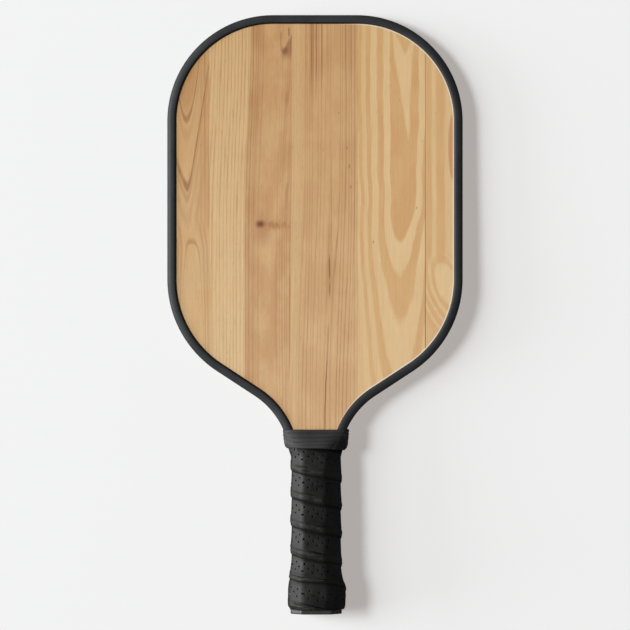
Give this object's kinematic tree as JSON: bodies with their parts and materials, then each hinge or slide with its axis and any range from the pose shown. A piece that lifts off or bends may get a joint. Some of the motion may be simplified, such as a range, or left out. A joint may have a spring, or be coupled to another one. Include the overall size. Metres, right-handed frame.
{
  "type": "pickleball paddle",
  "caption": "Pickleball paddle with a rounded-square wood-look blade, black edge guard, and a short octagonal handle wound with perforated cushion grip under a rubber collar.",
  "frame": {"origin": "centre of the butt cap's end face, on the blade panel's mid-plane", "axes": "+Z is the front face's outward normal, +Y runs from the butt to the tip of the blade, and +X is to the right when the front face is seen with the tip up"},
  "size_m": [0.1976, 0.4, 0.0348],
  "materials": {
    "printed_face": "satin clear-coated fibreglass with a printed light wood-plank picture",
    "honeycomb_polymer": "natural translucent polypropylene cell walls",
    "adhesive": "cured amber adhesive",
    "guard_polymer": "satin black moulded polyurethane",
    "pallet_foam": "rigid polyurethane foam with a fine closed skin",
    "cap_polymer": "dark grey moulded nylon, fine matte texture",
    "staple_wire": "galvanised wire",
    "grip_tape": "off-white double-sided tape",
    "grip_cushion": "matte black perforated polyurethane cushion with a fine grain",
    "finishing_tape": "black vinyl tape",
    "collar_rubber": "smooth satin black rubber with soft ripples"
  },
  "bodies": {
    "root": {"front_face_sheet": "printed_face", "rear_face_sheet": "printed_face", "honeycomb_core": "honeycomb_polymer", "front_adhesive_film": "adhesive", "rear_adhesive_film": "adhesive", "edge_guard": "guard_polymer", "edge_guard_adhesive": "adhesive", "handle_pallet_front": "pallet_foam", "handle_pallet_rear": "pallet_foam", "pallet_bond_front": "adhesive", "pallet_bond_rear": "adhesive", "butt_cap": "cap_polymer", "butt_cap_staples": "staple_wire", "grip_adhesive_tape": "grip_tape", "cushion_grip": "grip_cushion", "grip_start_staple": "staple_wire", "grip_finishing_tape": "finishing_tape", "grip_collar": "collar_rubber"}
  },
  "joints": []
}
